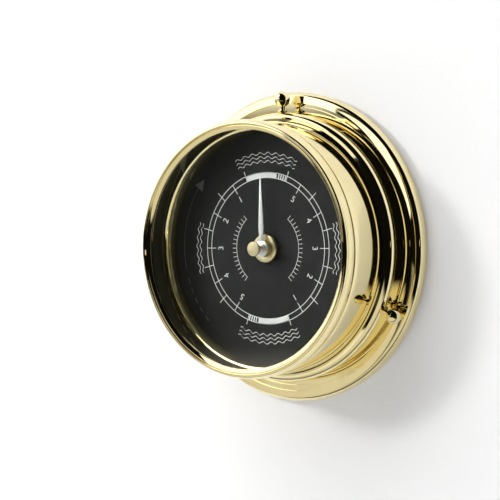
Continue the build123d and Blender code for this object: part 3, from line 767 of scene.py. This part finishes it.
def make_hour_scale(side):
    """One half of the scale: strokes with the numbers 5 to 1, and the white band."""
    marks = []
    for step, angle in enumerate(hour_angles):
        if step % 2:
            marks.append(ink_box(number_tick_start, outer_ring, angle + side, line_width))
            marks.append(ink_number(str(5 - step // 2), number_place, angle + side,
                                    number_height))
        else:
            end = end_tick_end if step in (0, 10) else plain_tick_end
            marks.append(ink_box(inner_ring, end, angle + side, line_width))
    marks.append(ink_band(inner_ring, outer_ring, side + band_first, side + band_last))
    for bar in range(bar_count):
        start = side + bar_first + bar_pitch * bar
        marks.append(ink_band(inner_ring, outer_ring, start, start + bar_width))
    return marks


def make_track(middle):
    """A plain track of ticks to the left or right inside the scale."""
    marks = [ink_box(track_tick_start, track_tick_end, angle, track_tick_width)
             for angle in range(middle - track_spread, middle + track_spread + 1, track_step)]
    marks.append(ink_band(track_inner, track_outer, middle - track_end, middle + track_end))
    return marks


def make_dial_print():
    """The rings, the hour scale, the bands and the plain marks round them; the marks on the
    lower left get a dark grey ink, which is painted shade where the bezel shades the dial.
    """
    marks = [ink_band(outer_ring - line_width, outer_ring, 0, 360),
             ink_band(inner_ring - line_width, inner_ring, 0, 360)]
    for side in (0, 180):
        marks += make_hour_scale(side)
        marks += [ink_wave(radius, tall_wave, side - long_wave_spread,
                           side + long_wave_spread, long_waves) for radius in long_wave_places]
    for middle in (90, 270):
        marks += [ink_wave(radius, low_wave, middle - short_wave_spread,
                           middle + short_wave_spread, short_waves)
                  for radius in short_wave_places]
        marks += make_track(middle)
    join_print("dial_print", marks, white_ink)
    # The arc, arrow and dashes on the lower left are the same print in dark grey ink, as
    # painted shade.
    shaded_marks = [ink_band(arc_inner, arc_outer, arc_first, arc_last),
             ink_arrowhead(arrow_inner, arrow_outer, arc_last, arrow_last)]
    shaded_marks += [ink_band(dash_inner, dash_outer, angle, angle + dash_length)
              for angle in range(dash_first, dash_last, dash_step)]
    return join_print("dial_print_painted_shade", shaded_marks, shaded_print_ink)


make_dial_print()


# Stage, light and camera

camera_azimuth, camera_elevation, camera_roll = 37.45, 1.52, -0.93
camera_distance, camera_across, camera_up = 1.794, -0.0092, -0.0009
camera_lens, sensor_width = 259.6, 36.0
wall_overlap, wall_gap, wall_reach = 3.0 * mm, 0.3 * mm, 0.45
wall_tone, wall_glow = 0.90, 0.10
floor_size, floor_height = 6, -0.45
floor_tone, floor_glow = 0.85, 0.65
mirrored_room, soft_room = 0.004, 0.26
warm_white, pinkish_white = (1.0, 0.96, 0.86), (1.0, 0.86, 0.80)
UPWARD = Vector((0, 0, 1))


def make_camera():
    """The camera at the photo's angle, level and distance."""
    azimuth, elevation = radians(camera_azimuth), radians(camera_elevation)
    back = Vector((sin(azimuth) * cos(elevation), -cos(azimuth) * cos(elevation),
                   sin(elevation)))
    right = (-back).cross(Vector((0, 0, 1))).normalized()
    up = right.cross(-back)
    roll = radians(camera_roll)
    right_rolled = right * cos(roll) + up * sin(roll)
    up_rolled = up * cos(roll) - right * sin(roll)
    place = (AXIS * dial_front + back * camera_distance + right_rolled * camera_across
             + up_rolled * camera_up)
    turn = Matrix((right_rolled, up_rolled, back)).transposed().to_4x4()
    data = bpy.data.cameras.new("camera")
    data.lens, data.sensor_width = camera_lens, sensor_width
    data.clip_start, data.clip_end = 0.01, 50
    camera = bpy.data.objects.new("camera", data)
    camera.matrix_world = Matrix.Translation(place) @ turn
    bpy.context.scene.collection.objects.link(camera)
    bpy.context.scene.camera = camera


def stage_material(name, tone_value, glow, see_through_back=False):
    """A pale matt surface with a share of plain white for what shows in a picture.

    Only camera, glossy and transmission rays get the share. The surface may be
    looked through from behind.
    """
    nodes = Nodes(name)
    grain = nodes.add("ShaderNodeTexNoise")
    grain.inputs["Scale"].default_value = 250.0
    tone = nodes.add("ShaderNodeMix", data_type="RGBA")
    darker = tone_value * 0.985
    tone.inputs["A"].default_value = (tone_value, tone_value, tone_value, 1)
    tone.inputs["B"].default_value = (darker, darker, darker, 1)
    coordinates = nodes.add("ShaderNodeTexCoord")
    nodes.link(coordinates.outputs["Object"], grain.inputs["Vector"])
    nodes.link(grain.outputs["Fac"], tone.inputs["Factor"])
    nodes.feed("Base Color", tone.outputs["Result"])
    nodes.shader.inputs["Roughness"].default_value = 0.9
    nodes.shader.inputs["Specular IOR Level"].default_value = 0.1
    rays = nodes.add("ShaderNodeLightPath")
    mirrored = nodes.add("ShaderNodeMath", operation="MAXIMUM")
    showing = nodes.add("ShaderNodeMath", operation="MAXIMUM")
    share = nodes.add("ShaderNodeMath", operation="MULTIPLY")
    share.inputs[1].default_value = glow
    white = nodes.add("ShaderNodeEmission")
    blend = nodes.add("ShaderNodeMixShader")
    nodes.link(rays.outputs["Is Glossy Ray"], mirrored.inputs[0])
    nodes.link(rays.outputs["Is Transmission Ray"], mirrored.inputs[1])
    nodes.link(rays.outputs["Is Camera Ray"], showing.inputs[0])
    nodes.link(mirrored.outputs[0], showing.inputs[1])
    nodes.link(showing.outputs[0], share.inputs[0])
    nodes.link(share.outputs[0], blend.inputs["Fac"])
    nodes.link(nodes.shader.outputs[0], blend.inputs[1])
    nodes.link(white.outputs[0], blend.inputs[2])
    surface = blend.outputs[0]
    if see_through_back:
        geometry = nodes.add("ShaderNodeNewGeometry")
        clear = nodes.add("ShaderNodeBsdfTransparent")
        switch = nodes.add("ShaderNodeMixShader")
        nodes.link(geometry.outputs["Backfacing"], switch.inputs["Fac"])
        nodes.link(surface, switch.inputs[1])
        nodes.link(clear.outputs[0], switch.inputs[2])
        surface = switch.outputs[0]
    nodes.link(surface, nodes.output.inputs["Surface"])
    return nodes.material


def make_wall():
    """The pale wall, open behind the flange so that the back shows and has light."""
    opening = ring_radius - wall_overlap
    outline = [(opening, -wall_gap), (wall_reach, -wall_gap)]
    wall = turned("wall_backdrop", outline, steps=fine_steps)
    bpy.ops.object.mode_set(mode="EDIT")
    bpy.ops.mesh.select_all(action="SELECT")
    if wall.data.polygons[0].normal.y > 0:
        bpy.ops.mesh.flip_normals()
    bpy.ops.object.mode_set(mode="OBJECT")
    wall.data.materials.append(stage_material("wall_paint", wall_tone, wall_glow, True))


def make_floor():
    """The pale floor, well under the clock."""
    clear_selection()
    bpy.ops.mesh.primitive_plane_add(size=floor_size, location=(0, 0, floor_height))
    floor = bpy.context.object
    floor.name = "floor"
    settle(floor)
    floor.visible_glossy = False
    floor.data.materials.append(stage_material("floor_paint", floor_tone, floor_glow))


def around(azimuth, elevation, distance):
    """A place in front of the wall: azimuth runs from straight ahead to the right."""
    turn, rise = radians(azimuth), radians(elevation)
    return distance * Vector((sin(turn) * cos(rise), -cos(turn) * cos(rise), sin(rise)))


def add_lamp(name, place, width, height, watts):
    """A soft rectangular lamp that points at the clock and shows in nothing."""
    data = bpy.data.lights.new(name, "AREA")
    data.shape = "RECTANGLE"
    data.size, data.size_y = width, height
    data.energy = watts
    lamp = bpy.data.objects.new(name, data)
    lamp.location = place
    lamp.rotation_euler = (-place).to_track_quat("-Z", "Y").to_euler()
    lamp.visible_camera = False
    lamp.visible_glossy = False
    bpy.context.scene.collection.objects.link(lamp)


def card_material(name, colour, strength, fade):
    """A soft-edged brightness that only shows in metal and glass."""
    nodes = Nodes(name)
    nodes.tree.nodes.remove(nodes.shader)
    coordinates = nodes.add("ShaderNodeTexCoord")
    across = nodes.add("ShaderNodeSeparateXYZ")
    nodes.link(coordinates.outputs["UV"], across.inputs[0])
    edges = []
    for axis in ("X", "Y"):
        from_middle = nodes.add("ShaderNodeMath", operation="SUBTRACT")
        from_middle.inputs[1].default_value = 0.5
        distance = nodes.add("ShaderNodeMath", operation="ABSOLUTE")
        edge = nodes.add("ShaderNodeMapRange", interpolation_type="SMOOTHSTEP")
        edge.inputs["From Min"].default_value = 0.5
        edge.inputs["From Max"].default_value = 0.5 - fade
        nodes.link(across.outputs[axis], from_middle.inputs[0])
        nodes.link(from_middle.outputs[0], distance.inputs[0])
        nodes.link(distance.outputs[0], edge.inputs["Value"])
        edges.append(edge.outputs["Result"])
    level = nodes.add("ShaderNodeMath", operation="MULTIPLY")
    nodes.link(edges[0], level.inputs[0])
    nodes.link(edges[1], level.inputs[1])
    rays = nodes.add("ShaderNodeLightPath")
    share = nodes.add("ShaderNodeMath", operation="MULTIPLY")
    light = nodes.add("ShaderNodeEmission")
    light.inputs["Color"].default_value = (*colour, 1)
    light.inputs["Strength"].default_value = strength
    clear = nodes.add("ShaderNodeBsdfTransparent")
    blend = nodes.add("ShaderNodeMixShader")
    nodes.link(rays.outputs["Is Glossy Ray"], share.inputs[0])
    nodes.link(level.outputs[0], share.inputs[1])
    nodes.link(share.outputs[0], blend.inputs["Fac"])
    nodes.link(clear.outputs[0], blend.inputs[1])
    nodes.link(light.outputs[0], blend.inputs[2])
    nodes.link(blend.outputs[0], nodes.output.inputs["Surface"])
    return nodes.material


def add_card(name, place, width, height, strength, colour=(1, 1, 1), fade=0.04, facing=None):
    """A bright card that faces the clock, or faces along a given direction."""
    facing = facing or -place
    clear_selection()
    bpy.ops.mesh.primitive_plane_add(
        size=1, location=place, rotation=facing.to_track_quat("Z", "Y").to_euler())
    card = bpy.context.object
    card.name = name
    card.scale = (width, height, 1)
    settle(card)
    card.data.materials.append(card_material(name + "_light", colour, strength, fade))


def make_world():
    """Soft light from all round, white to the camera and almost dark in reflections."""
    world = bpy.data.worlds.new("room")
    bpy.context.scene.world = world
    world.use_nodes = True
    tree = world.node_tree
    tree.nodes.clear()
    room = tree.nodes.new("ShaderNodeBackground")
    room.inputs["Color"].default_value = (1, 1, 1, 1)
    level = tree.nodes.new("ShaderNodeMapRange")
    level.inputs["To Min"].default_value = mirrored_room
    level.inputs["To Max"].default_value = soft_room
    seen = tree.nodes.new("ShaderNodeBackground")
    seen.inputs["Color"].default_value = (1, 1, 1, 1)
    rays = tree.nodes.new("ShaderNodeLightPath")
    switch = tree.nodes.new("ShaderNodeMixShader")
    output = tree.nodes.new("ShaderNodeOutputWorld")
    tree.links.new(rays.outputs["Is Diffuse Ray"], level.inputs["Value"])
    tree.links.new(level.outputs["Result"], room.inputs["Strength"])
    tree.links.new(rays.outputs["Is Camera Ray"], switch.inputs["Fac"])
    tree.links.new(room.outputs[0], switch.inputs[1])
    tree.links.new(seen.outputs[0], switch.inputs[2])
    tree.links.new(switch.outputs[0], output.inputs["Surface"])


make_camera()
make_wall()
make_floor()
make_world()
# Lamps: name, place, width, height and watts. They light and shadow the object.
add_lamp("key_softbox", around(-46, 22.3, 1.6), 1.04, 1.16, 4)
add_lamp("small_key", around(-40, 21, 1.6), 0.26, 0.26, 11)
add_lamp("left_lamp", around(-36, 52, 1.7), 1.3, 1.3, 11.5)
add_lamp("top_lamp", around(-20, 68, 1.6), 1.2, 1.2, 10)
add_lamp("back_lamp", around(160, 28, 1.5), 1.2, 1.0, 16)

# Cards: name, place, width, height and strength. They are what the brass mirrors.
add_card("window_card", around(-59, 31.7, 2.6), 2.9, 3.0, 1.8, fade=0.02)
add_card("far_left_card", around(-112, 33, 2.6), 2.0, 2.6, 1.1)
add_card("back_card", around(174, 6, 2.4), 4.6, 3.6, 0.9)
add_card("right_card", around(75, 1.0, 2.0), 0.20, 0.16, 0.9, pinkish_white, 0.2)
add_card("window_side_card", around(-18, 12.5, 2.6), 0.90, 0.86, 1.5, fade=0.06)
add_card("left_floor_card", Vector((-4.9, -3.3, floor_height)), 9.0, 5.6, 0.75, warm_white,
         0.16, facing=UPWARD)
add_card("near_floor_card", Vector((-0.35, -0.95, floor_height - 0.01)), 2.3, 1.9, 0.75,
         warm_white, 0.12, facing=UPWARD)

bpy.context.scene.view_settings.view_transform = "Standard"
